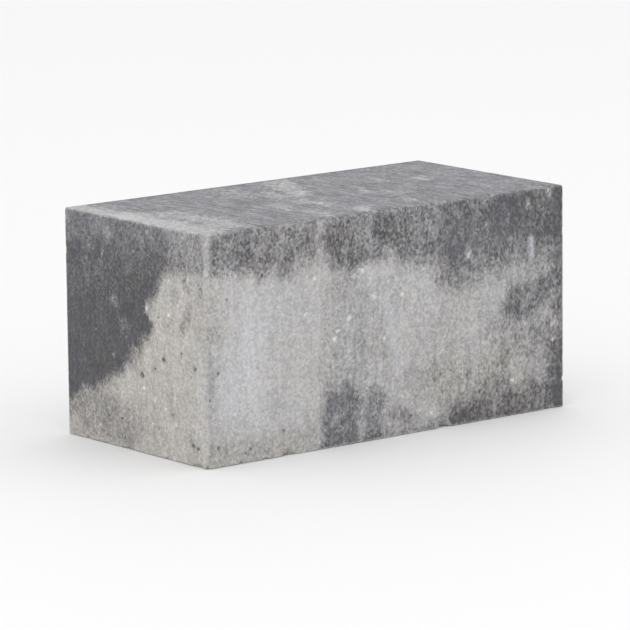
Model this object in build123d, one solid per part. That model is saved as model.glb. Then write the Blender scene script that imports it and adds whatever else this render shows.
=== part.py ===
from build123d import *
import os

# A solid concrete wall block, pressed in a steel mould as one piece and laid in running bond.
# Millimetres, +Z up. The origin is the middle of the bed, so the block stands on Z = 0.
# X runs along the wall and Y through it. The show face looks towards -Y.

# Coursing sizes
LENGTH = 300.0  # along the wall, so that a half overlap is one block depth
DEPTH = 150.0  # through the wall, the width of the bed
HEIGHT = 150.0  # one course, bed face to head face

# Arrises
MOULD_ARRIS_RADIUS = 2.0  # upright and head edges, eased by the mould and the press plate
BED_ARRIS_RADIUS = 0.8  # bed edges, left nearly sharp where the wet block stood on its board

PARTS_FOLDER = "parts"


def bed_edges(block):
    """The closed run of edges round the lowest face."""
    return block.faces().sort_by(Axis.Z).first.edges()


def wall_block():
    """The pressed block: a plain prism, its mould arrises eased first and its bed arris last."""
    block = Box(LENGTH, DEPTH, HEIGHT, align=(Align.CENTER, Align.CENTER, Align.MIN))
    mould_edges = block.edges() - bed_edges(block)
    block = fillet(mould_edges, MOULD_ARRIS_RADIUS)
    return fillet(bed_edges(block), BED_ARRIS_RADIUS)


def main():
    os.makedirs(PARTS_FOLDER, exist_ok=True)
    export_step(wall_block(), os.path.join(PARTS_FOLDER, "wall_block.step"))


main()
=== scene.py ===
import math
import random

import bmesh
import bpy
from mathutils import Matrix, Vector, kdtree, noise


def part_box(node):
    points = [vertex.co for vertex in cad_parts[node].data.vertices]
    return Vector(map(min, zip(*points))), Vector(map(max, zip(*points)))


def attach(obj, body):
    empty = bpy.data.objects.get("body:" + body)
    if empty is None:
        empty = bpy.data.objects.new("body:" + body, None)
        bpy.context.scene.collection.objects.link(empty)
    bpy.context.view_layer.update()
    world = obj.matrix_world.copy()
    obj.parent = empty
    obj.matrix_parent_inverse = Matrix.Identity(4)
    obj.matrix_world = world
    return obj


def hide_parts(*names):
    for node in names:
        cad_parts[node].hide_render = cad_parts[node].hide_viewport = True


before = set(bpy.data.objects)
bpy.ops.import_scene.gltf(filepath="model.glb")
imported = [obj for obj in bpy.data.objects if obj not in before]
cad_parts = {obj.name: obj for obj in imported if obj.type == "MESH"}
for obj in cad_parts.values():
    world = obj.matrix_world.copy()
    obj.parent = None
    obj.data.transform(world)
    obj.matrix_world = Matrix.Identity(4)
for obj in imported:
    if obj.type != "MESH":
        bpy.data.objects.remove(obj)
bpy.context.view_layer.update()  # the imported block, in metres, standing on z = 0
low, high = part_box("wall_block")
size = high - low
mm = 0.001

# Each face as it is looked at: its lower left corner, the way along it and the way up it
faceFrames = {
    "front": (Vector((low.x, low.y, low.z)), Vector((1, 0, 0)), Vector((0, 0, 1))),
    "leftEnd": (Vector((low.x, high.y, low.z)), Vector((0, -1, 0)), Vector((0, 0, 1))),
    "back": (Vector((high.x, high.y, low.z)), Vector((-1, 0, 0)), Vector((0, 0, 1))),
    "rightEnd": (Vector((high.x, low.y, low.z)), Vector((0, 1, 0)), Vector((0, 0, 1))),
    "head": (Vector((low.x, low.y, high.z)), Vector((1, 0, 0)), Vector((0, 1, 0))),
    "bed": (Vector((low.x, high.y, low.z)), Vector((1, 0, 0)), Vector((0, -1, 0))),
}
faceNames = list(faceFrames)
faceNormals = {name: along.cross(up) for name, (corner, along, up) in faceFrames.items()}


def smoothStep(start, end, value):
    t = min(max((value - start) / (end - start), 0.0), 1.0)
    return t * t * (3 - 2 * t)


def faceOf(normal):
    return max(faceNormals, key=lambda name: normal.dot(faceNormals[name]))


def faceSize(along, up):
    return abs(size.dot(along)), abs(size.dot(up))


# The pressed block: shape
# Its one dictionary is filled in step by step, beside the code that uses each entry.
# An entry that ends in Per says how often a pattern comes in a metre

block = {
    "mouldArris": 2.0 * mm,  # uprights and head, eased by the mould and the press plate
    "mouldSegments": 4,
    "bedArris": 0.8 * mm,  # nearly sharp, where the wet block stood on its board
    "bedSegments": 2,
    "gridStep": 2.6 * mm,
    "fineBands": ((6.0 * mm, 1.4 * mm), (3.0 * mm, 1.0 * mm)),  # width along the arrises, longest edge
    "swell": 0.10 * mm,  # slow unevenness of a face
    "swellPer": 22.0,
    "sandy": 0.07 * mm,  # relief of the coarse sand
    "sandyPer": 170.0,
}


def castBlock():
    bm = bmesh.new()
    bmesh.ops.create_cube(bm, size=1.0)
    bmesh.ops.scale(bm, vec=size, verts=bm.verts)
    bmesh.ops.translate(bm, vec=(low + high) / 2, verts=bm.verts)
    flush = 0.001 * mm

    def ease(edges, radius, segments):
        bmesh.ops.bevel(bm, geom=edges, offset=radius, offset_type="OFFSET", affect="EDGES",
                        segments=segments, profile=0.5, material=-1)

    def top(edge):
        return max(v.co.z for v in edge.verts)

    mould, bed = block["mouldArris"], block["bedArris"]
    ease([e for e in bm.edges if top(e) > low.z + mould], mould, block["mouldSegments"])
    ease([e for e in bm.edges if top(e) < low.z + flush], bed, block["bedSegments"])

    # Cut the flat faces into a grid
    start = low + Vector((mould, mould, bed))
    end = high - Vector((mould, mould, mould))
    for axis in range(3):
        cuts = round((end[axis] - start[axis]) / block["gridStep"])
        for cut in range(cuts + 1):
            point, normal = Vector(), Vector()
            point[axis] = start[axis] + (end[axis] - start[axis]) * cut / cuts
            normal[axis] = 1
            everything = bm.verts[:] + bm.edges[:] + bm.faces[:]
            bmesh.ops.bisect_plane(bm, geom=everything, dist=flush, plane_co=point, plane_no=normal)
    bmesh.ops.triangulate(bm, faces=[f for f in bm.faces if len(f.verts) > 4])
    return bm


def refine(bm, longest, isNear):
    edges = []
    for edge in bm.edges:
        if edge.calc_length() > longest and isNear((edge.verts[0].co + edge.verts[1].co) / 2):
            edges.append(edge)
    bmesh.ops.subdivide_edges(bm, edges=edges, cuts=1, use_grid_fill=True)


def nearArris(place, band):
    return sum(min(place[k] - low[k], high[k] - place[k]) < band for k in range(3)) > 1


# Crumbling along the arrises: how deep it is everywhere, how far in the arris is rubbed pale,
# then how deep, how close together and how rare the chips and the smaller nicks are
block["arrises"] = {
    "bed": {"ragged": 1.4 * mm, "raggedPer": 240.0, "pale": 1.8 * mm,
            "losses": ((9.0 * mm, 54.0, 0.22), (5.0 * mm, 140.0, 0.20))},
    "upright": {"ragged": 1.2 * mm, "raggedPer": 210.0, "pale": 2.4 * mm,
                "losses": ((3.2 * mm, 55.0, 0.34), (2.2 * mm, 130.0, 0.28))},
    "head": {"ragged": 1.0 * mm, "raggedPer": 300.0, "pale": 1.4 * mm,
             "losses": ((3.4 * mm, 70.0, 0.38), (2.6 * mm, 150.0, 0.28))},
}
block["wear"] = {
    "reach": 8.0 * mm,  # nothing is worn further in than this
    "crumbs": 0.35 * mm,  # roughness of a broken place
    "crumbsPer": 620.0,
    "crumbsFull": 0.8 * mm,  # loss at which it is at its roughest
    "rubFade": (0.25, 1.0),  # shares of the pale width between which the rub fades
    "brokenFrom": (0.1 * mm, 0.6 * mm),  # losses between which broken concrete comes to show
    "brokenFade": (0.9, 1.5),  # shares of its depth between which it fades
}


def arrisesNear(place):
    gaps = []
    for axis in range(3):
        below, above = place[axis] - low[axis], high[axis] - place[axis]
        gaps.append((below, -1) if below < above else (above, 1))
    for first, second in ((0, 1), (0, 2), (1, 2)):
        inset = (gaps[first][0] + gaps[second][0]) / math.sqrt(2)
        if inset > block["wear"]["reach"]:
            continue
        kind = "upright" if second == 1 else "head" if gaps[2][1] > 0 else "bed"
        onArris, inward = place.copy(), Vector()
        for axis in (first, second):
            onArris[axis] = high[axis] if gaps[axis][1] > 0 else low[axis]
            inward[axis] = -gaps[axis][1] / math.sqrt(2)
        yield kind, inset, onArris, inward


def crumble(kind, place, onArris):
    arris, wear = block["arrises"][kind], block["wear"]
    fine = abs(noise.noise(onArris * arris["raggedPer"])) * arris["ragged"]
    lost = max(max(0.0, noise.noise(onArris * per) - rare) * deep for deep, per, rare in arris["losses"])
    crumbs = noise.noise(place * wear["crumbsPer"]) * wear["crumbs"]
    return fine + lost + crumbs * smoothStep(0.0, wear["crumbsFull"], lost), lost


# Voids left between the grains: along and up the face, width and depth, all in mm
block["pits"] = {
    "leftEnd": [
        (105, 64, 4.4, 1.9), (82, 51, 4.6, 1.9), (96, 57, 2.6, 1.2), (138, 63, 3.2, 1.5),
        (70, 58, 2.4, 1.0), (135, 13, 3.8, 1.8), (140, 12, 2.6, 1.3), (38, 107, 3.0, 1.1),
        (128, 118, 2.4, 1.1), (59, 19, 2.2, 0.9), (46, 19, 2.4, 1.0), (114, 30, 1.8, 0.8),
        (124, 71, 1.8, 0.8),
    ],
    "front": [
        (10, 61, 2.6, 1.2), (9, 13, 2.4, 1.1), (46, 119, 2.8, 1.1), (189, 98, 2.2, 1.0),
        (246, 61, 2.0, 0.9), (167, 12, 2.2, 1.0), (226, 20, 2.2, 1.0), (62, 17, 2.0, 0.9),
        (3, 44, 2.0, 0.9), (31, 7, 1.8, 0.8),
    ],
}

# Pale stones that lie flush in the face: along and up it and their width, all in mm
block["stones"] = {
    "leftEnd": [
        (111, 94, 3.0), (88, 95, 2.8), (84, 43, 2.6), (117, 41, 2.6), (93, 21, 2.4), (132, 119, 2.8),
        (70, 22, 2.2), (41, 124, 2.2), (24, 119, 1.8), (66, 74, 1.8), (33, 74, 1.6), (52, 97, 1.8),
        (75, 130, 2.2), (122, 101, 2.2),
    ],
    "front": [
        (88, 112, 3.0), (137, 94, 3.4), (116, 83, 3.6), (103, 71, 3.0), (107, 76, 2.2), (160, 93, 2.4),
        (127, 113, 2.6), (80, 90, 2.2), (211, 23, 2.8), (289, 47, 2.8), (291, 57, 2.2), (217, 113, 3.2),
        (179, 108, 2.0), (23, 33, 2.0), (144, 66, 1.8), (196, 61, 1.8), (232, 131, 2.0), (254, 24, 2.2),
        (184, 12, 2.4), (66, 47, 1.6),
    ],
}

# How many more of both are strewn over each face, and how
block["strays"] = {
    "pits": {"front": 16, "leftEnd": 12, "back": 28, "rightEnd": 18, "head": 16, "bed": 60},
    "stones": {"front": 12, "leftEnd": 6, "back": 30, "rightEnd": 16, "head": 24, "bed": 30},
    "seed": 31,
    "width": (0.9, 2.0),  # mm, before it is raised to the power
    "power": 1.3,
    "pitDepth": 0.42,  # of the width
    "across": (0.03, 0.97),  # shares of the face's length and height
    "rise": (0.04, 0.96),
}

# How pits and stones are cut
block["spots"] = {
    "longestEdge": 0.75 * mm,
    "rounds": 3,  # times that longer edges are halved
    "refined": 1.5,  # half widths out to which they are
    "reach": 1.6,  # half widths out to which the face is searched
    "ragged": 0.45,  # unevenness of the outline
    "raggedPer": 900.0,
    "pitFloor": 0.35,  # half widths out to which a pit is at its deepest
    "stoneFlat": 0.75,  # half widths out to which a stone is at its palest
    "rim": 1.15,  # half widths at which both end
}


# Spots listed and others strewn over the faces: place, normal, half width and depth
def allSpots(kind, deep):
    strays = block["strays"]
    dice = random.Random(strays["seed"])
    found = []
    for name, (corner, along, up) in faceFrames.items():
        length, height = faceSize(along, up)
        spots = [[n * mm for n in spot] for spot in block[kind].get(name, [])]
        for k in range(strays[kind][name]):
            width = dice.uniform(*strays["width"]) ** strays["power"] * mm
            across = dice.uniform(*strays["across"]) * length
            rise = dice.uniform(*strays["rise"]) * height
            spots.append((across, rise, width, width * deep))
        for across, rise, width, *depth in spots:
            place = corner + along * across + up * rise
            found.append((place, faceNormals[name], width / 2, depth[0] if depth else 0.0))
    return found


def searchTree(places):
    tree = kdtree.KDTree(len(places))
    for k, place in enumerate(places):
        tree.insert(place, k)
    tree.balance()
    return tree


def shapeBlock():
    bm = castBlock()
    print("block cast and gridded:", len(bm.faces), "faces")
    for band, longest in block["fineBands"]:
        refine(bm, longest, lambda place: nearArris(place, band))
    cut, wear = block["spots"], block["wear"]
    spots = allSpots("pits", block["strays"]["pitDepth"]) + allSpots("stones", 0.0)
    spotTree = searchTree([spot[0] for spot in spots])
    widest = cut["refined"] * max(spot[2] for spot in spots)

    def inSpot(place):
        near = spotTree.find_range(place, widest)
        return any(apart < cut["refined"] * spots[k][2] for middle, k, apart in near)

    for k in range(cut["rounds"]):
        refine(bm, cut["longestEdge"], inSpot)
    bm.normal_update()
    print("arrises, pits and stones refined:", len(bm.faces), "faces")

    wearLayer = bm.verts.layers.float.new("arrisPale")
    pitShadeLayer = bm.verts.layers.float.new("pitShade")
    stoneLayer = bm.verts.layers.float.new("stonePale")
    faceLayer = bm.faces.layers.int.new("mouldFace")
    for face in bm.faces:
        face.smooth = True
        face[faceLayer] = faceNames.index(faceOf(face.normal))
    verts = bm.verts[:]
    rest = [v.co.copy() for v in verts]
    for v, place in zip(verts, rest):
        swell = (0.5 + 0.5 * noise.noise(place * block["swellPer"])) * block["swell"]
        sandy = (0.5 + 0.5 * noise.noise(place * block["sandyPer"])) * block["sandy"]
        v.co -= v.normal * (swell + sandy)
        for kind, inset, onArris, inward in arrisesNear(place):
            depth, lost = crumble(kind, place, onArris)
            if depth > inset:
                v.co += inward * (depth - inset)
            rub = 1 - smoothStep(*wear["rubFade"], inset / block["arrises"][kind]["pale"])
            broken = smoothStep(*wear["brokenFrom"], lost)
            broken *= 1 - smoothStep(*wear["brokenFade"], inset / max(depth, mm))
            v[wearLayer] = max(v[wearLayer], rub, broken)

    restTree = searchTree(rest)
    # Pits are cut in, and their bowls are kept as the painted shade inside them; stones are kept as pale
    # spots
    for middle, normal, half, depth in spots:
        layer, inner = (pitShadeLayer, cut["pitFloor"]) if depth > 0 else (stoneLayer, cut["stoneFlat"])
        for place, k, apart in restTree.find_range(middle, cut["reach"] * half):
            ragged = apart / half * (1 + cut["ragged"] * noise.noise(place * cut["raggedPer"]))
            bowl = 1 - smoothStep(inner, cut["rim"], ragged)
            verts[k].co -= normal * depth * bowl
            verts[k][layer] = max(verts[k][layer], bowl)
    print("block shaped")
    return bm


# Finishes: how the mix strayed in folds, how far it was drawn out and dragged,
# how speckled and how sandy each is, and how deep and strong its relief is
block["finishes"] = {
    "mouldedSide": {"folds": (1.0, 1.0, 0.45), "stretch": (1.0, 1.0, 0.68), "streak": (1.0, 1.0, 0.09),
                    "speckle": 1.0, "sand": 1.0, "relief": 0.45 * mm, "bump": 0.7},
    "mouldedEnd": {"folds": (1.0, 1.0, 0.8), "stretch": (1.0, 1.0, 0.9), "streak": (1.0, 1.0, 0.2),
                   "speckle": 0.85, "sand": 1.12, "relief": 0.50 * mm, "bump": 0.75},
    "pressedHead": {"folds": (1.0, 0.4, 1.0), "stretch": (0.76, 0.64, 0.76), "streak": (1.0, 0.2, 1.0),
                    "speckle": 1.25, "sand": 1.12, "relief": 0.40 * mm, "bump": 0.42},
    "boardBed": {"folds": (1.0, 1.0, 1.0), "stretch": (1.0, 1.0, 1.0), "streak": (1.0, 1.0, 1.0),
                 "speckle": 0.8, "sand": 1.5, "relief": 0.70 * mm, "bump": 0.9},
}
block["faceFinish"] = {
    "front": "mouldedSide", "back": "mouldedSide", "leftEnd": "mouldedEnd", "rightEnd": "mouldedEnd",
    "head": "pressedHead", "bed": "boardBed",
}

# The two-tone mix, painted on each face in strokes over a base of charcoal: more of it, places
# where it is lifted off again, lime haze (on the head a painted sheen) and a warm tint of the light mix
# A stroke is (from, to, reach, softness, amount), along and up the face in mm
block["mix"] = {
    "front": {
        "base": 0.03,
        "charcoal": [
            ((6, 142), (40, 141), 19, 6, 0.66), ((40, 128), (60, 125), 9, 4, 0.4),
            ((72, 140), (82, 139), 17, 7, 0.58), ((72, 124), (86, 123), 9, 5, 0.26),
            ((117, 138), (130, 137), 22, 7, 0.7), ((124, 119), (146, 118), 5, 4, 0.38),
            ((99, 120), (104, 119), 4, 4, 0.35), ((165, 136), (184, 133), 22, 8, 0.68),
            ((214, 141), (234, 139), 21, 16, 0.8), ((211, 115), (230, 114), 19, 11, 0.76),
            ((189, 146), (189, 120), 3.5, 3, 0.3), ((262, 140), (298, 138), 26, 10, 0.9),
            ((254, 114), (296, 108), 13, 9, 0.54), ((255, 98), (284, 93), 11, 9, 0.26),
            ((299, 140), (299, 2), 12, 7, 0.68), ((302, 34), (302, 0), 16, 6, 0.66),
            ((257, 75), (279, 82), 10.5, 6, 0.6), ((109, 22), (110, 2), 15, 6, 0.83),
            ((104, 35), (115, 32), 8, 6, 0.38), ((137, 27), (139, 8), 9, 6, 0.62),
            ((157, 13), (163, 11), 8, 6, 0.44), ((112, 98), (112, 45), 19, 4, 0.22),
            ((140, 80), (146, 50), 12, 6, 0.08), ((160, 55), (285, 45), 44, 18, 0.13),
            ((254, 60), (278, 42), 18, 12, 0.32), ((192, 30), (240, 30), 12, 10, 0.27),
            ((214, 2), (290, 4), 17, 11, 0.82), ((118, 3), (140, 3), 5, 5, 0.5),
            ((176, 3), (212, 3), 8, 6, 0.22), ((93, 0), (300, 0), 4, 4, 0.5),
            ((4, 8), (88, 5), 9, 7, 0.22), ((3, 92), (3, 10), 5, 4, 0.18),
            ((190, 109), (203, 99), 8, 6, 0.36), ((160, 111), (172, 110), 5, 5, 0.16),
            ((6, 114), (11, 84), 9, 7, 0.09),
        ],
        "lifted": [
            ((93, 149), (93, 112), 3, 2.5, 0.4), ((0, 150), (0, 112), 4, 3, 0.72),
            ((288, 50), (292, 60), 5, 5, 0.15), ((183, 16), (182, 6), 3, 3, 0.5),
            ((240, 14), (240, 2), 2, 2, 0.5), ((216, 114), (220, 112), 3, 3, 0.3),
            ((233, 132), (233, 116), 1.2, 1.5, 0.25), ((120, 26), (121, 20), 3, 3, 0.3),
            ((269, 144), (271, 142), 2, 2, 0.35), ((283, 137), (284, 132), 1.5, 1.5, 0.25),
            ((287, 149), (287, 145), 2, 2, 0.4), ((252, 134), (253, 128), 1.5, 2, 0.25),
        ],
        "haze": [
            ((35, 84), (25, 44), 12, 11, 0.6), ((146, 92), (156, 48), 5, 4, 0.56),
            ((221, 66), (221, 28), 2.5, 2, 0.42), ((271, 117), (271, 106), 2.2, 1.5, 0.8),
            ((178, 112), (178, 92), 4, 3, 0.25), ((205, 125), (270, 96), 20, 12, 0.08),
            ((112, 90), (112, 50), 14, 8, 0.16), ((108, 28), (112, 2), 13, 8, 0.12),
            ((137, 26), (139, 8), 8, 6, 0.07),
        ],
        "warm": [
            ((196, 34), (236, 30), 16, 12, 0.6), ((252, 34), (284, 46), 16, 12, 0.25),
            ((10, 8), (84, 6), 9, 8, 0.6), ((8, 112), (11, 84), 9, 8, 0.5),
            ((205, 12), (285, 14), 10, 8, 0.4),
        ],
    },
    "leftEnd": {
        "base": 0.03,
        "charcoal": [
            ((-20, 55), (50, 99), 46, 5, 0.985), ((-10, 125), (60, 150), 44, 7, 0.93),
            ((66, 108), (92, 134), 24, 6, 0.84), ((104, 146), (150, 146), 23, 5, 0.54),
            ((107, 147), (114, 132), 9, 8, 0.42), ((124, 84), (133, 97), 4, 4, 0.44),
            ((86, 82), (91, 86), 5, 3, 0.8), ((97, 109), (104, 119), 5, 3, 0.8),
            ((28, 22), (66, 15), 15, 10, 0.4), ((4, 8), (70, 3), 8, 7, 0.14),
            ((76, 30), (92, 25), 6, 6, 0.14), ((112, 44), (119, 30), 5, 5, 0.12),
            ((126, 74), (132, 58), 5, 5, 0.1), ((98, 12), (112, 8), 6, 5, 0.12),
            ((112, 92), (118, 106), 4, 4, 0.14), ((142, 90), (146, 70), 5, 5, 0.07),
            ((134, 16), (142, 8), 6, 5, 0.15), ((129, 119), (130, 113), 3, 3, 0.35),
            ((143, 116), (144, 104), 3.5, 3.5, 0.34), ((121, 108), (122, 100), 3, 3, 0.2),
        ],
        "lifted": [
            ((0, 153), (104, 153), 20, 15, 0.12), ((14, 108), (76, 120), 18, 14, 0.06),
            ((96, 92), (90, 97), 3.5, 2.5, 0.8), ((68, 57), (75, 62), 4, 4, 0.6),
            ((4, 20), (22, 32), 4, 3, 0.5), ((151, 150), (151, 110), 4.5, 4, 0.7),
            ((27, 133), (28, 129), 3, 4, 0.22), ((39, 122), (40, 118), 3, 4, 0.22),
            ((21, 119), (22, 115), 2.5, 3, 0.2), ((55, 94), (57, 90), 3, 4, 0.18),
            ((63, 82), (65, 78), 3, 4, 0.2), ((50, 141), (56, 138), 3, 4, 0.22),
            ((74, 140), (82, 138), 2.5, 3, 0.26), ((90, 146), (94, 142), 3, 4, 0.26),
        ],
        "haze": [
            ((148, 75), (148, 20), 8, 6, 0.25), ((0, 153), (104, 153), 20, 15, 0.13),
        ],
        "warm": [
            ((20, 10), (140, 40), 70, 30, 0.9), ((120, 110), (125, 60), 24, 14, 0.5),
        ],
    },
    "head": {
        "base": 0.9,
        "charcoal": [
            ((60, 75), (96, 30), 26, 16, 0.14), ((170, 60), (285, 20), 34, 16, 0.14),
            ((76, 98), (70, 84), 4, 4, 0.2),
        ],
        "lifted": [
            ((0, 150), (0, 75), 13, 8, 0.84), ((3, 90), (8, 0), 19, 11, 0.82),
            ((36, 78), (38, 16), 9, 9, 0.54), ((166, 138), (156, 112), 8, 6, 0.58),
            ((151, 96), (145, 86), 6, 5, 0.64), ((135, 108), (128, 88), 6, 5, 0.48),
            ((108, 64), (100, 44), 5, 5, 0.48), ((130, 66), (135, 40), 5, 5, 0.58),
            ((122, 136), (118, 124), 5, 5, 0.32), ((141, 18), (138, 8), 4.5, 4, 0.84),
            ((110, 30), (106, 8), 6, 6, 0.44), ((124, 116), (106, 86), 4, 4, 0.28),
            ((192, 86), (184, 68), 4, 4, 0.36), ((250, 92), (244, 78), 3.5, 3, 0.66),
            ((194, 56), (184, 26), 5, 5, 0.32), ((228, 108), (224, 96), 4, 4, 0.3),
            ((264, 40), (258, 22), 5, 5, 0.2),
        ],
        "haze": [
            # This haze over the whole head is a painted sheen, the pale glancing reflection of the top face
            ((40, 75), (300, 75), 80, 20, 0.36),
        ],
        "warm": [
            ((4, 140), (4, 10), 14, 8, 0.35), ((158, 130), (140, 84), 8, 6, 0.4),
        ],
    },
    "back": {
        "base": 0.03,
        "charcoal": [
            ((300, 105), (215, 130), 50, 7, 0.95), ((220, 140), (60, 141), 20, 6, 0.62),
            ((45, 118), (-5, 122), 30, 10, 0.6), ((122, 22), (160, 6), 14, 6, 0.7),
            ((70, 42), (62, 12), 9, 6, 0.5), ((216, 3), (300, 4), 14, 10, 0.55),
            ((60, 60), (190, 55), 42, 18, 0.16), ((90, 0), (300, 0), 4, 4, 0.36),
        ],
        "lifted": [
            ((180, 118), (195, 100), 9, 6, 0.5),
        ],
        "haze": [
            ((100, 95), (108, 55), 9, 6, 0.5), ((24, 60), (20, 25), 8, 6, 0.4),
        ],
        "warm": [
            ((150, 20), (250, 34), 20, 14, 0.7),
        ],
    },
    "rightEnd": {
        "base": 0.03,
        "charcoal": [
            ((-4, 118), (62, 143), 34, 6, 0.88), ((60, 142), (152, 137), 17, 6, 0.62),
            ((-2, 16), (18, 2), 16, 6, 0.8), ((98, 62), (130, 30), 13, 9, 0.42),
            ((40, 20), (90, 10), 14, 10, 0.22),
        ],
        "lifted": [
            ((20, 95), (35, 108), 6, 5, 0.4),
        ],
        "haze": [
            ((84, 88), (86, 50), 8, 5, 0.45),
        ],
        "warm": [
            ((40, 30), (130, 70), 50, 30, 0.8),
        ],
    },
    "bed": {
        "base": 0.34,
        "charcoal": [
            ((60, 40), (140, 90), 36, 18, 0.45), ((222, 30), (284, 112), 30, 16, 0.6),
        ],
        "lifted": [],
        "haze": [],
        "warm": [
            ((150, 75), (200, 75), 60, 40, 0.5),
        ],
    },
}

# Folds in which the mix strayed: how often they come in a metre, and how far they reach in mm
block["folds"] = ((36.0, 4.5), (125.0, 3.0))


def strokeAmount(strokes, spot):
    clear = 1.0
    for start, end, reach, soft, amount in strokes:
        a, b = Vector(start), Vector(end)
        run = b - a
        t = min(max((spot - a).dot(run) / run.length_squared, 0.0), 1.0)
        apart = (spot - a - run * t).length
        clear *= 1 - amount * (1 - smoothStep(reach - soft, reach + soft, apart))
    return 1 - clear


# Three unlike noises, read at places far apart
def wander(place):
    return Vector([noise.noise(place + Vector((gap, 2 * gap, 3 * gap))) for gap in (0.0, 17.3, 41.9)])


def strayed(place, drag):
    drawn = Vector([c * d for c, d in zip(place, drag)])
    return sum((wander(drawn * per) * reach * mm for per, reach in block["folds"]), Vector())


def paintMix(bm):
    shareLayer = bm.verts.layers.float.new("charcoalShare")
    hazeLayer = bm.verts.layers.float.new("limeHazeAndSheen")
    warmLayer = bm.verts.layers.float.new("warmTint")
    leastFacing = 0.02  # a face that is turned further away leaves no paint
    for v in bm.verts:
        share = haze = warm = 0.0
        for name, (corner, along, up) in faceFrames.items():
            facing = max(0.0, v.normal.dot(faceNormals[name])) ** 2
            if facing < leastFacing:
                continue
            paint = block["mix"][name]
            place = v.co - corner
            spot = Vector((place.dot(along), place.dot(up))) / mm
            place += strayed(v.co, block["finishes"][block["faceFinish"][name]]["folds"])
            mixed = Vector((place.dot(along), place.dot(up))) / mm
            dark = 1 - (1 - paint["base"]) * (1 - strokeAmount(paint["charcoal"], mixed))
            share += facing * dark * (1 - strokeAmount(paint["lifted"], mixed))
            haze += facing * strokeAmount(paint["haze"], spot)
            warm += facing * strokeAmount(paint["warm"], spot)
        v[shareLayer] = share
        v[hazeLayer] = haze
        v[warmLayer] = warm


# One cell of the bake map for each face: left, bottom, width and height
mapCells = {
    "front": (0, 0, 2 / 3, 1 / 4),
    "back": (0, 1 / 4, 2 / 3, 1 / 4),
    "head": (0, 1 / 2, 2 / 3, 1 / 4),
    "bed": (0, 3 / 4, 2 / 3, 1 / 4),
    "leftEnd": (2 / 3, 0, 1 / 3, 1 / 2),
    "rightEnd": (2 / 3, 1 / 2, 1 / 3, 1 / 2),
}
mapGutter = 0.006


def layBakeMap(bm):
    mapLayer = bm.loops.layers.uv.new("OFBake")
    faceLayer = bm.faces.layers.int["mouldFace"]
    for face in bm.faces:
        name = faceNames[face[faceLayer]]
        corner, along, up = faceFrames[name]
        length, tall = faceSize(along, up)
        left, bottom, width, height = mapCells[name]
        for loop in face.loops:
            across = (loop.vert.co - corner).dot(along) / length
            rise = (loop.vert.co - corner).dot(up) / tall
            loop[mapLayer].uv = (left + mapGutter + across * (width - 2 * mapGutter),
                                 bottom + mapGutter + rise * (height - 2 * mapGutter))


# Shader helpers

def feed(tree, socket, value):
    if isinstance(value, bpy.types.NodeSocket):
        tree.links.new(value, socket)
    else:
        socket.default_value = value


def calc(tree, operation, first, second=0.0, clamp=False):
    made = tree.nodes.new("ShaderNodeMath")
    made.operation = operation
    made.use_clamp = clamp
    feed(tree, made.inputs[0], first)
    feed(tree, made.inputs[1], second)
    return made.outputs[0]


def plus(tree, start, value, weight, clamp=False):
    return calc(tree, "ADD", start, calc(tree, "MULTIPLY", value, weight), clamp)


# Values added up, each with its weight
def weighed(tree, *pairs):
    total = None
    for value, weight in pairs:
        part = calc(tree, "MULTIPLY", value, weight)
        total = part if total is None else calc(tree, "ADD", total, part)
    return total


def ramp(tree, value, start, end):
    made = tree.nodes.new("ShaderNodeMapRange")
    made.interpolation_type = "SMOOTHSTEP"
    for socket, number in zip(made.inputs, (value, start, end)):
        feed(tree, socket, number)
    return made.outputs[0]


def blend(tree, amount, first, second, mode="MIX"):
    made = tree.nodes.new("ShaderNodeMix")
    made.data_type = "RGBA"  # its colours are inputs 6 and 7 and output 2
    made.blend_type = mode
    feed(tree, made.inputs[0], amount)
    feed(tree, made.inputs[6], first)
    feed(tree, made.inputs[7], second)
    return made.outputs[2]


def stretched(tree, coords, stretch):
    made = tree.nodes.new("ShaderNodeVectorMath")
    made.operation = "MULTIPLY"
    feed(tree, made.inputs[0], coords)
    feed(tree, made.inputs[1], stretch)
    return made.outputs[0]


def noiseNode(tree, coords, per):
    made = tree.nodes.new("ShaderNodeTexNoise")
    feed(tree, made.inputs["Vector"], coords)
    made.inputs["Scale"].default_value = per
    return made


# Soft clouds, from about -0.5 to 0.5
def cloud(tree, coords, per, detail, roughness):
    made = noiseNode(tree, coords, per)
    made.inputs["Detail"].default_value = detail
    made.inputs["Roughness"].default_value = roughness
    return calc(tree, "SUBTRACT", made.outputs[0], 0.5)


# Coordinates bent out of true, so that grains aren't round
def bent(tree, coords, per, reach):
    shift = stretched(tree, noiseNode(tree, coords, per).outputs["Color"], (reach, reach, reach))
    moved = tree.nodes.new("ShaderNodeVectorMath")
    feed(tree, moved.inputs[0], coords)
    feed(tree, moved.inputs[1], shift)
    return moved.outputs[0]


# Packed grains: three random values for each of them, and how far its middle is
def packed(tree, coords, per):
    made = tree.nodes.new("ShaderNodeTexVoronoi")
    feed(tree, made.inputs["Vector"], coords)
    made.inputs["Scale"].default_value = per
    pick = tree.nodes.new("ShaderNodeSeparateColor")
    feed(tree, pick.inputs[0], made.outputs["Color"])
    return pick.outputs, made.outputs["Distance"]


# A tone of its own for every grain, from -0.5 to 0.5
def grainTone(tree, coords, per):
    picks = packed(tree, coords, per)[0]
    return calc(tree, "SUBTRACT", picks[0], 0.5)


block["specks"] = {
    "faintest": 0.1,
    "rarity": 4.0,  # the higher, the fewer of them are strong
    "narrowest": 0.5,  # of the width, to which up to one width is added
    "edge": 0.6,  # softness of the rim, of the width
}


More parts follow.
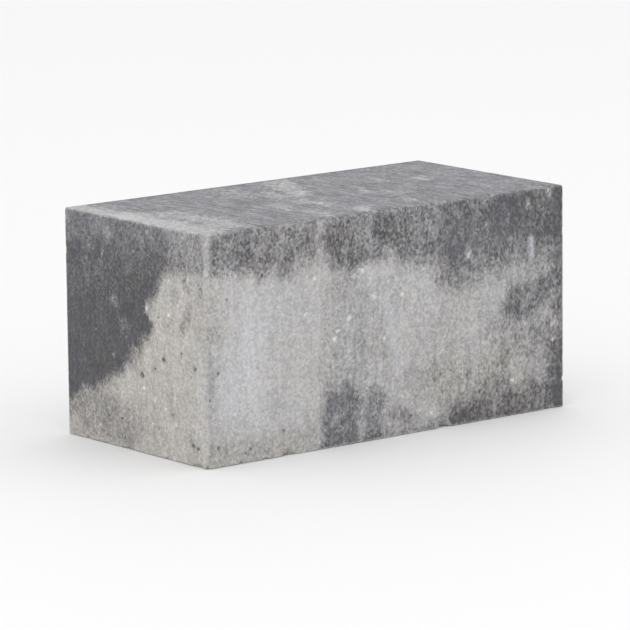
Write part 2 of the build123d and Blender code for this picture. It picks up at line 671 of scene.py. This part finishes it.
# A share of the grains, as specks of unlike strength and width
def scattered(tree, coords, per, kept, width):
    specks = block["specks"]
    picks, apart = packed(tree, coords, per)
    chosen = calc(tree, "LESS_THAN", picks[0], kept)
    strength = calc(tree, "ADD", specks["faintest"], calc(tree, "POWER", picks[2], specks["rarity"]))
    strength = calc(tree, "MULTIPLY", chosen, strength, True)
    reach = calc(tree, "MULTIPLY", calc(tree, "ADD", picks[1], specks["narrowest"]), width)
    inside = ramp(tree, calc(tree, "SUBTRACT", reach, apart), 0.0, specks["edge"] * width)
    return calc(tree, "MULTIPLY", strength, inside)


def newGroup(name, inputs, outputs):
    tree = bpy.data.node_groups.new(name, "ShaderNodeTree")
    kinds = {"value": "NodeSocketFloat", "vector": "NodeSocketVector", "colour": "NodeSocketColor"}
    for label, kind in inputs.items():
        tree.interface.new_socket(label, in_out="INPUT", socket_type=kinds[kind])
    for label, kind in outputs.items():
        tree.interface.new_socket(label, in_out="OUTPUT", socket_type=kinds[kind])
    return tree, tree.nodes.new("NodeGroupInput").outputs, tree.nodes.new("NodeGroupOutput").inputs


def useGroup(tree, group, values):
    made = tree.nodes.new("ShaderNodeGroup")
    made.node_tree = group
    for label, value in values.items():
        feed(tree, made.inputs[label], value)
    return made.outputs


# Where the charcoal mix lies against the light one, ragged and dragged by the mould
block["mottle"] = {
    "clouds": {  # how often in a metre, detail, roughness and weight
        "patches": (75.0, 2.0, 0.5, 0.8),
        "clumps": (230.0, 3.0, 0.65, 0.8),
        "drags": (260.0, 2.0, 0.5, 0.5),
    },
    "grains": {  # how often in a metre, how often and how far they are bent, and weight
        "grit": (360.0, 500.0, 1.4 * mm, 0.15),
        "sand": (740.0, 1100.0, 0.5 * mm, 0.72),
    },
    "least": 0.04,  # raggedness where there is only one mix
    "spread": 0.55,  # the lower, the wider it is ragged about a half and half mix
    "rough": 1.0,
    "roughInDark": 1.0,  # added where charcoal prevails
}


def mottleGroup():
    mottle = block["mottle"]
    taken = {"Coords": "vector", "Stretch": "vector", "Streak": "vector",
             "Share": "value", "Speckle": "value"}
    tree, given, out = newGroup("charcoalMottle", taken, {"Dark": "value"})
    dragged = stretched(tree, given["Coords"], given["Stretch"])
    ways = {
        "patches": dragged,
        "clumps": stretched(tree, dragged, given["Stretch"]),
        "drags": stretched(tree, given["Coords"], given["Streak"]),
    }
    parts = []
    for name, (per, detail, roughness, weight) in mottle["clouds"].items():
        parts.append((cloud(tree, ways[name], per, detail, roughness), weight))
    for per, bendPer, bend, weight in mottle["grains"].values():
        parts.append((grainTone(tree, bent(tree, dragged, bendPer, bend), per), weight))
    ragged = weighed(tree, *parts)
    share = given["Share"]
    mixed = calc(tree, "MULTIPLY", share, calc(tree, "SUBTRACT", 1.0, share, True))
    rougher = plus(tree, mottle["rough"], share, mottle["roughInDark"])
    patchy = plus(tree, mottle["least"], calc(tree, "POWER", mixed, mottle["spread"]), rougher)
    spread = calc(tree, "MULTIPLY", patchy, given["Speckle"])
    feed(tree, out["Dark"], plus(tree, share, ragged, spread, True))
    return tree


# Sand in the face
block["sand"] = {
    "bend": (1000.0, 0.6 * mm),  # how often in a metre, and how far
    "grains": 640.0,
    "clouds": {  # how often in a metre, detail and roughness
        "fines": (1400.0, 2.0, 0.6),
        "coarse": (520.0, 2.0, 0.5),
        "lumps": (150.0, 3.0, 0.6),
    },
    "dragged": {
        "streaks": (330.0, 2.0, 0.5),
        "bands": (75.0, 2.0, 0.5),
    },
    "tone": {"fines": 0.45, "grains": 0.40, "coarse": 0.46, "lumps": 0.32, "streaks": 0.3, "bands": 0.3},
    "relief": {"fines": 0.5, "grains": 0.5, "coarse": 0.9, "lumps": 0.8, "streaks": 0.4, "pinholes": -1.0},
    "bigPale": (120.0, 0.20, 0.14),  # how often in a metre, the share that is pale, width
    "smallPale": (330.0, 0.40, 0.27),
    "smallPaleShown": 0.6,
    "pinholes": (240.0, 0.10, 0.20),
}


# Tone of the grains, pale grains, pinholes with their painted shade, and their relief
def sandGroup():
    sand = block["sand"]
    tree, given, out = newGroup("sandGrain", {"Coords": "vector", "Streak": "vector"},
                                {"Tone": "value", "Grain": "value", "Pinhole": "value", "Height": "value"})
    angular = bent(tree, given["Coords"], *sand["bend"])
    drawn = stretched(tree, given["Coords"], given["Streak"])
    layers = {
        "grains": grainTone(tree, angular, sand["grains"]),
        "pinholes": scattered(tree, angular, *sand["pinholes"]),
    }
    for kind, coords in (("clouds", given["Coords"]), ("dragged", drawn)):
        for name, look in sand[kind].items():
            layers[name] = cloud(tree, coords, *look)
    for label, weights in (("Tone", sand["tone"]), ("Height", sand["relief"])):
        feed(tree, out[label], weighed(tree, *[(layers[name], weight) for name, weight in weights.items()]))
    big = scattered(tree, angular, *sand["bigPale"])
    small = calc(tree, "MULTIPLY", scattered(tree, angular, *sand["smallPale"]), sand["smallPaleShown"])
    feed(tree, out["Grain"], calc(tree, "MAXIMUM", big, small))
    feed(tree, out["Pinhole"], layers["pinholes"])
    return tree


block["colours"] = {
    "light": (0.470, 0.462, 0.466, 1),
    "lightWarm": (0.486, 0.466, 0.437, 1),
    "dark": (0.086, 0.083, 0.088, 1),
    "darkBlue": (0.092, 0.091, 0.103, 1),
    "paleGrain": (0.72, 0.71, 0.68, 1),
    "paleStone": (0.72, 0.70, 0.66, 1),
    # painted shade inside pits and pinholes
    "hole": (0.07, 0.068, 0.066, 1),
    "limeAndSheen": (0.545, 0.557, 0.592, 1),
    "brokenArris": (0.46, 0.45, 0.435, 1),
}
block["tint"] = {
    "warm": (26.0, 3.0, 0.6),  # clouds of a warmer light mix: how often in a metre, detail, roughness
    "warmFade": (-0.12, 0.14),
    "warmMost": 0.4,
    "blue": (38.0, 3.0, 0.6),  # clouds of a bluer charcoal
    "blueFade": (-0.10, 0.16),
    "haze": (240.0, 3.0, 0.6),  # streaks in the lime haze
    "hazeEven": 0.75,
    "hazeStreaked": 2.2,
    "rub": (280.0, 3.0, 0.65),  # unevenness of the rubbed arrises
    "rubUneven": 2.2,
    "rubFade": (0.4, 1.1),
    "rubMost": 0.5,
    "stone": 0.85,  # how well pale stones and grains show, and how much less in charcoal
    "stoneInDark": -0.6,
    "grain": 0.5,
    "grainInDark": -0.3,
    "sand": 0.75,  # how strong the sand's tone is, and what lime and charcoal add to it
    "sandInHaze": -0.3,
    "sandInDark": 0.1,
    # how strongly pinholes and pits are darkened with painted shade
    "pinhole": 0.6,
    "pit": 0.75,
    "rough": 0.86,
    "roughInSand": 0.25,
    "roughInDark": -0.05,
    "specular": 0.35,
}

# What is painted on the piece, by the name that the face reads it under
paintLayers = {"Share": "charcoalShare", "Haze": "limeHazeAndSheen", "Warm": "warmTint", "Pale": "arrisPale",
               "PitShadeMask": "pitShade", "Stone": "stonePale"}


# The whole face: both mixes, lime haze (on the head a painted sheen), rubbed arrises, stones, sand, and
# painted shade in pits and pinholes
def faceGroup(mottle, sand):
    drawn = {"Coords": "vector", "Stretch": "vector", "Streak": "vector",
             "Speckle": "value", "Sand": "value"}
    painted = {label: "value" for label in paintLayers}
    tree, given, out = newGroup("concreteFace", {**drawn, **painted},
                                {"Colour": "colour", "Roughness": "value", "Height": "value"})
    colour, tint = block["colours"], block["tint"]
    coords = given["Coords"]
    mixed = {label: given[label] for label in ("Coords", "Stretch", "Streak", "Share", "Speckle")}
    dark = useGroup(tree, mottle, mixed)["Dark"]
    grains = useGroup(tree, sand, {"Coords": coords, "Streak": given["Streak"]})

    warm = ramp(tree, cloud(tree, coords, *tint["warm"]), *tint["warmFade"])
    warm = calc(tree, "ADD", calc(tree, "MULTIPLY", warm, tint["warmMost"]), given["Warm"], True)
    blue = ramp(tree, cloud(tree, coords, *tint["blue"]), *tint["blueFade"])
    lightMix = blend(tree, warm, colour["light"], colour["lightWarm"])
    darkMix = blend(tree, blue, colour["dark"], colour["darkBlue"])
    face = blend(tree, dark, lightMix, darkMix)

    # The haze: lime on the faces, and on the head a painted sheen of the glancing top face
    streaks = cloud(tree, stretched(tree, coords, given["Streak"]), *tint["haze"])
    streaked = plus(tree, tint["hazeEven"], streaks, tint["hazeStreaked"])
    haze = calc(tree, "MULTIPLY", given["Haze"], streaked, True)
    face = blend(tree, haze, face, colour["limeAndSheen"])

    rubbed = plus(tree, given["Pale"], cloud(tree, coords, *tint["rub"]), tint["rubUneven"])
    rubbed = calc(tree, "MULTIPLY", ramp(tree, rubbed, *tint["rubFade"]), tint["rubMost"])
    face = blend(tree, rubbed, face, colour["brokenArris"])
    stone = calc(tree, "MULTIPLY", given["Stone"], plus(tree, tint["stone"], dark, tint["stoneInDark"]))
    face = blend(tree, stone, face, colour["paleStone"])

    bareness = calc(tree, "ADD", 1.0, weighed(tree, (haze, tint["sandInHaze"]), (dark, tint["sandInDark"])))
    sandy = calc(tree, "MULTIPLY", given["Sand"], bareness)
    shade = plus(tree, 1.0, calc(tree, "MULTIPLY", grains["Tone"], tint["sand"]), sandy)
    shadeColour = tree.nodes.new("ShaderNodeCombineColor")
    for socket in shadeColour.inputs:
        feed(tree, socket, shade)
    face = blend(tree, 1.0, face, shadeColour.outputs[0], "MULTIPLY")
    pale = calc(tree, "MULTIPLY", grains["Grain"], plus(tree, tint["grain"], dark, tint["grainInDark"]))
    face = blend(tree, pale, face, colour["paleGrain"])
    # Painted shade: pinholes and pits are darkened towards the colour of the shade inside them
    pinhole = calc(tree, "MULTIPLY", grains["Pinhole"], tint["pinhole"])
    pinhole = calc(tree, "MULTIPLY", pinhole, given["Sand"], True)
    hollowShade = calc(tree, "MAXIMUM", pinhole, calc(tree, "MULTIPLY", given["PitShadeMask"], tint["pit"]))
    feed(tree, out["Colour"], blend(tree, hollowShade, face, colour["hole"]))

    rough = plus(tree, tint["rough"], grains["Tone"], tint["roughInSand"])
    feed(tree, out["Roughness"], plus(tree, rough, dark, tint["roughInDark"], True))
    feed(tree, out["Height"], grains["Height"])
    return tree


def concreteFinish(name, face):
    finish = block["finishes"][name]
    material = bpy.data.materials.new(name)
    material.use_nodes = True
    tree = material.node_tree
    surface = tree.nodes["Principled BSDF"]
    coords = tree.nodes.new("ShaderNodeTexCoord").outputs["Object"]
    painted = {}
    for label, layer in paintLayers.items():
        reader = tree.nodes.new("ShaderNodeAttribute")
        reader.attribute_name = layer
        painted[label] = reader.outputs["Fac"]
    drawn = {label: finish[label.lower()] for label in ("Stretch", "Streak", "Speckle", "Sand")}
    look = useGroup(tree, face, {"Coords": coords, **drawn, **painted})
    bump = tree.nodes.new("ShaderNodeBump")
    bump.inputs["Strength"].default_value = finish["bump"]
    bump.inputs["Distance"].default_value = finish["relief"]
    feed(tree, bump.inputs["Height"], look["Height"])
    feed(tree, surface.inputs["Base Color"], look["Colour"])
    feed(tree, surface.inputs["Roughness"], look["Roughness"])
    feed(tree, surface.inputs["Normal"], bump.outputs[0])
    surface.inputs["Specular IOR Level"].default_value = block["tint"]["specular"]
    return material


def makeBlock():
    bm = shapeBlock()
    bm.normal_update()
    paintMix(bm)
    layBakeMap(bm)
    faceLayer = bm.faces.layers.int["mouldFace"]
    finishNames = list(block["finishes"])
    for face in bm.faces:
        face.material_index = finishNames.index(block["faceFinish"][faceNames[face[faceLayer]]])
    mesh = bpy.data.meshes.new("pressedBlock")
    bm.to_mesh(mesh)
    bm.free()
    face = faceGroup(mottleGroup(), sandGroup())
    for name in finishNames:
        mesh.materials.append(concreteFinish(name, face))
    piece = bpy.data.objects.new("pressedBlock", mesh)
    bpy.context.scene.collection.objects.link(piece)
    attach(piece, "root")
    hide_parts("wall_block")
    print("block painted and dressed:", sum(len(p.vertices) - 2 for p in mesh.polygons), "triangles")


# Stage: a pale floor, soft light all round and the photographed viewpoint

stage = {
    "floorHalf": 9.0,
    "floorColour": (0.88, 0.88, 0.883, 1),
    "floorRoughness": 0.7,
    "skyColour": (1.0, 1.0, 1.0, 1),
    "skyStrength": 1.03,
    "softboxes": {
        "overhead": {"place": (0.3, -0.9, 2.6), "size": 2.4, "power": 6.0},
        "frontFill": {"place": (-2.4, -1.7, 1.3), "size": 1.6, "power": 8.0},
    },
}


def makeStage():
    bm = bmesh.new()
    bmesh.ops.create_grid(bm, x_segments=1, y_segments=1, size=stage["floorHalf"])
    mesh = bpy.data.meshes.new("paleFloor")
    bm.to_mesh(mesh)
    bm.free()
    floor = bpy.data.objects.new("paleFloor", mesh)
    bpy.context.scene.collection.objects.link(floor)
    material = bpy.data.materials.new("paleFloor")
    material.use_nodes = True
    surface = material.node_tree.nodes["Principled BSDF"]
    surface.inputs["Base Color"].default_value = stage["floorColour"]
    surface.inputs["Roughness"].default_value = stage["floorRoughness"]
    mesh.materials.append(material)

    sky = bpy.data.worlds.new("studio")
    sky.use_nodes = True
    background = sky.node_tree.nodes["Background"]
    background.inputs["Color"].default_value = stage["skyColour"]
    background.inputs["Strength"].default_value = stage["skyStrength"]
    bpy.context.scene.world = sky
    middle = (low + high) / 2
    for name, box in stage["softboxes"].items():
        light = bpy.data.lights.new(name, "AREA")
        light.energy = box["power"]
        light.size = box["size"]
        lamp = bpy.data.objects.new(name, light)
        lamp.location = box["place"]
        lamp.rotation_euler = (middle - lamp.location).to_track_quat("-Z", "Y").to_euler()
        bpy.context.scene.collection.objects.link(lamp)
    print("stage lit")


view = {
    "place": (-1.895, -2.373, 0.634),
    "aim": (-0.002, 0.0005, 0.0706),
    "lens": 268.0,
    "sensor": 36.0,
    "roll": 0.63,  # degrees, as the photograph was held
}


def makeCamera():
    camera = bpy.data.cameras.new("photoView")
    camera.lens = view["lens"]
    camera.sensor_width = view["sensor"]
    holder = bpy.data.objects.new("photoView", camera)
    place, aim = Vector(view["place"]), Vector(view["aim"])
    turn = (aim - place).to_track_quat("-Z", "Y").to_matrix()
    rolled = turn @ Matrix.Rotation(math.radians(-view["roll"]), 3, "Z")
    holder.matrix_world = Matrix.Translation(place) @ rolled.to_4x4()
    bpy.context.scene.collection.objects.link(holder)
    bpy.context.scene.camera = holder
    bpy.context.scene.view_settings.view_transform = "Standard"
    print("camera set")


makeCamera()
makeBlock()
makeStage()
